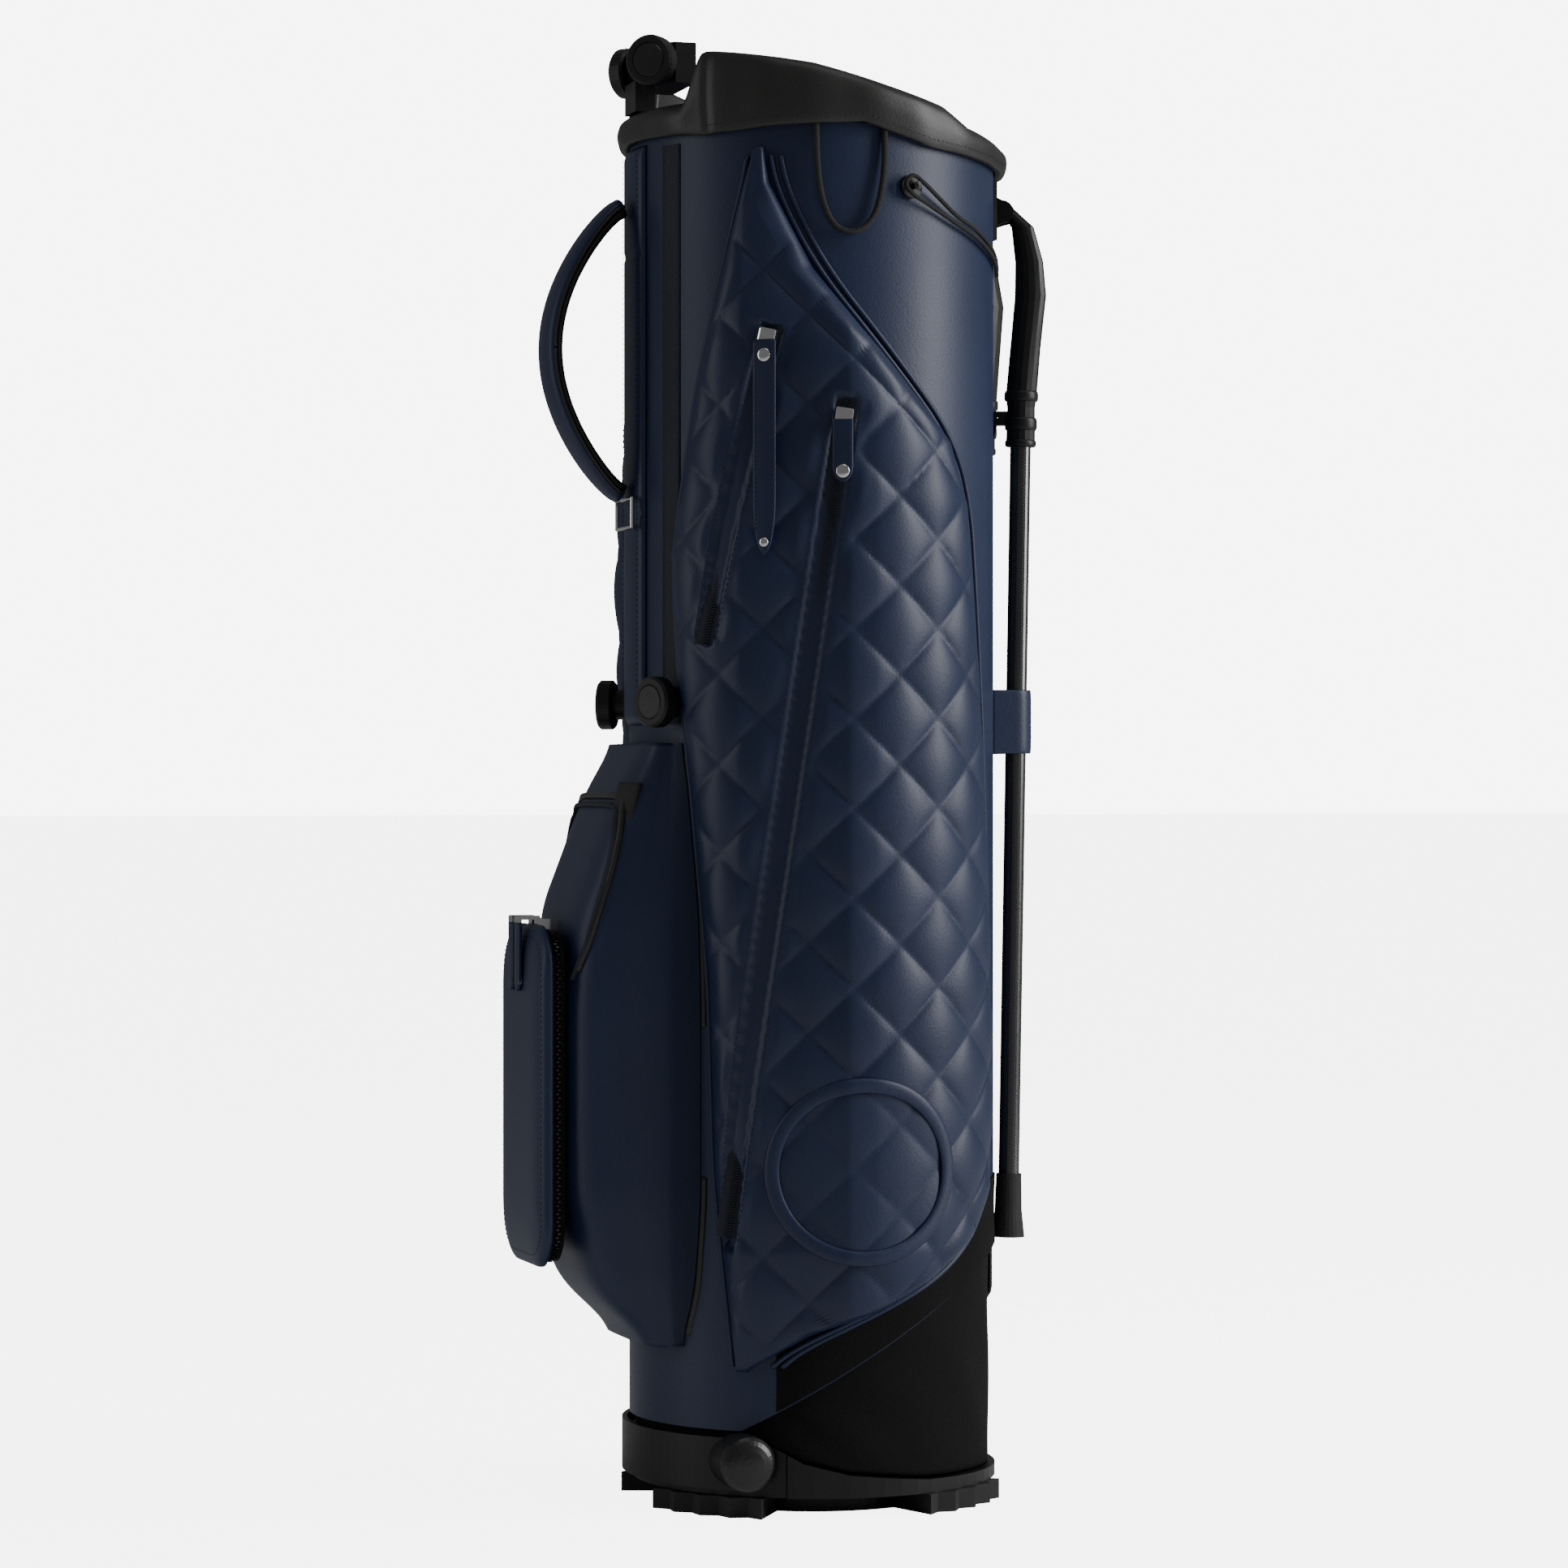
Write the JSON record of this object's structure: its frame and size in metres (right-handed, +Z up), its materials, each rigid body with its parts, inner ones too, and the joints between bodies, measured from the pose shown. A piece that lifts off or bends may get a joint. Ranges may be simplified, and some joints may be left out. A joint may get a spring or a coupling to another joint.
{
  "type": "golf stand bag",
  "caption": "Upright golf carry bag with fold-out legs, a tilting foot, a padded divided mouth, quilted side pockets, a ball pocket and a carry handle.",
  "frame": {"origin": "on the floor under the tube's axis, on the underside of the foot", "axes": "+Z up along the tube, +X towards the legs, -X towards the handle, +Y across"},
  "size_m": [0.3213, 0.2748, 0.87],
  "materials": {
    "navy_leather": "soft grain",
    "black_leather": "smooth satin",
    "black_fabric": "woven",
    "black_plastic": "moulded satin",
    "rubber": "matt",
    "carbon": "woven carbon, lacquered",
    "steel": "polished",
    "aluminium": "satin"
  },
  "bodies": {
    "foot": {"foot_shell": "black_plastic", "cleat_1": "rubber", "cleat_2": "rubber", "cleat_3": "rubber", "cleat_4": "rubber"},
    "bag": {"body_tube": "navy_leather", "base_gusset": "black_fabric", "heel_yoke": "black_plastic", "pivot_dome_near": "black_plastic", "pivot_dome_far": "black_plastic", "top_cuff": "black_leather", "divider_grid": "black_plastic", "divider_walls": "black_fabric", "spine_stay_near": "aluminium", "spine_stay_far": "aluminium", "spine_panel": "navy_leather", "handle_ring": "steel", "carry_handle": "navy_leather", "buckle_low_near": "black_plastic", "buckle_low_far": "black_plastic", "buckle_top_near": "black_plastic", "buckle_top_far": "black_plastic", "harness_hub": "black_plastic", "side_pocket_near": "navy_leather", "side_pocket_far": "navy_leather", "long_zip_near": "navy_leather", "short_zip_near": "navy_leather", "long_zip_far": "navy_leather", "ball_pocket": "navy_leather", "pouch_zip": "black_fabric", "ball_pouch": "navy_leather", "leg_bracket": "black_plastic", "leg_keeper": "navy_leather", "towel_loop": "black_fabric", "elastic_loop": "black_fabric", "cord_anchor": "black_plastic"},
    "leg_near": {"leg_head_near": "black_plastic", "leg_tube_near": "carbon", "leg_foot_near": "rubber"},
    "leg_far": {"leg_head_far": "black_plastic", "leg_tube_far": "carbon", "leg_foot_far": "rubber"},
    "rod_near": {"push_rod_near": "steel"},
    "rod_far": {"push_rod_far": "steel"},
    "slider_long_near": {"long_slider_near": "steel"},
    "slider_short_near": {"short_slider_near": "steel"},
    "slider_long_far": {"long_slider_far": "steel"},
    "pull_long_near": {"long_pull_near": "navy_leather"},
    "pull_short_near": {"short_pull_near": "navy_leather"},
    "pull_long_far": {"long_pull_far": "navy_leather"},
    "slider_pouch_near": {"pouch_slider_near": "steel"},
    "slider_pouch_far": {"pouch_slider_far": "steel"},
    "press_low_near": {"button_low_near": "black_plastic"},
    "press_low_far": {"button_low_far": "black_plastic"},
    "press_top_near": {"button_top_near": "black_plastic"},
    "press_top_far": {"button_top_far": "black_plastic"}
  },
  "joints": [
    {"name": "base_tilt", "type": "hinge", "parent": "foot", "child": "bag", "pos_m": [-0.07, 0, 0.033], "axis": [0, 1, 0], "range_deg": [0, 28], "stiffness_Nm_per_rad": 6, "springref_deg": -22.92, "deforming": ["base_gusset", "leg_keeper"]},
    {"name": "leg_near_swing", "type": "hinge", "parent": "bag", "child": "leg_near", "pos_m": [0.111, -0.032, 0.772], "axis": [-0.4226, -0.9063, 0], "range_deg": [0, 36.1]},
    {"name": "leg_far_swing", "type": "hinge", "parent": "bag", "child": "leg_far", "pos_m": [0.111, 0.032, 0.772], "axis": [0.4226, -0.9063, 0], "range_deg": [0, 36.1]},
    {"name": "rod_near_turn", "type": "hinge", "parent": "leg_near", "child": "rod_near", "pos_m": [0.108, -0.027, 0.648], "axis": [0.3875, 0.9199, -0.06], "range_deg": [0, 43.1]},
    {"name": "rod_far_turn", "type": "hinge", "parent": "leg_far", "child": "rod_far", "pos_m": [0.108, 0.027, 0.648], "axis": [-0.3875, 0.9199, 0.06], "range_deg": [0, 43.1]},
    {"name": "slider_long_near_run", "type": "slide", "parent": "bag", "child": "slider_long_near", "axis": [-0.1279, 0.0712, -0.9892], "range_m": [0, 0.46]},
    {"name": "slider_short_near_run", "type": "slide", "parent": "bag", "child": "slider_short_near", "axis": [-0.1839, 0.1234, -0.9752], "range_m": [0, 0.162]},
    {"name": "slider_long_far_run", "type": "slide", "parent": "bag", "child": "slider_long_far", "axis": [-0.1279, -0.0712, -0.9892], "range_m": [0, 0.46]},
    {"name": "pull_long_near_lift", "type": "hinge", "parent": "slider_long_near", "child": "pull_long_near", "pos_m": [-0.02307, -0.1343, 0.63698], "axis": [-0.9119, 0.4103, 0], "range_deg": [0, 75]},
    {"name": "pull_short_near_lift", "type": "hinge", "parent": "slider_short_near", "child": "pull_short_near", "pos_m": [-0.06509, -0.11669, 0.68326], "axis": [-0.7995, 0.6007, 0], "range_deg": [0, 75]},
    {"name": "pull_long_far_lift", "type": "hinge", "parent": "slider_long_far", "child": "pull_long_far", "pos_m": [-0.02307, 0.1343, 0.63698], "axis": [0.9119, 0.4103, 0], "range_deg": [0, 75]},
    {"name": "slider_pouch_near_run", "type": "slide", "parent": "bag", "child": "slider_pouch_near", "axis": [0, -1, 0], "range_m": [0, 0.015]},
    {"name": "slider_pouch_far_run", "type": "slide", "parent": "bag", "child": "slider_pouch_far", "axis": [0, 1, 0], "range_m": [0, 0.015]},
    {"name": "press_low_near_push", "type": "slide", "parent": "bag", "child": "press_low_near", "axis": [0.8988, 0.4384, 0], "range_m": [0, 0.0015], "stiffness_N_per_m": 1500, "springref_m": -0.001},
    {"name": "press_low_far_push", "type": "slide", "parent": "bag", "child": "press_low_far", "axis": [0.8988, -0.4384, 0], "range_m": [0, 0.0015], "stiffness_N_per_m": 1500, "springref_m": -0.001},
    {"name": "press_top_near_push", "type": "slide", "parent": "bag", "child": "press_top_near", "axis": [0.6428, 0.766, 0], "range_m": [0, 0.0015], "stiffness_N_per_m": 1500, "springref_m": -0.001},
    {"name": "press_top_far_push", "type": "slide", "parent": "bag", "child": "press_top_far", "axis": [0.6428, -0.766, 0], "range_m": [0, 0.0015], "stiffness_N_per_m": 1500, "springref_m": -0.001}
  ],
  "couplings": [
    {"joint": "leg_near_swing", "follows": "base_tilt", "ratio": 1.2857},
    {"joint": "leg_far_swing", "follows": "base_tilt", "ratio": 1.2857},
    {"joint": "rod_near_turn", "follows": "base_tilt", "ratio": 1.534},
    {"joint": "rod_far_turn", "follows": "base_tilt", "ratio": 1.534}
  ]
}
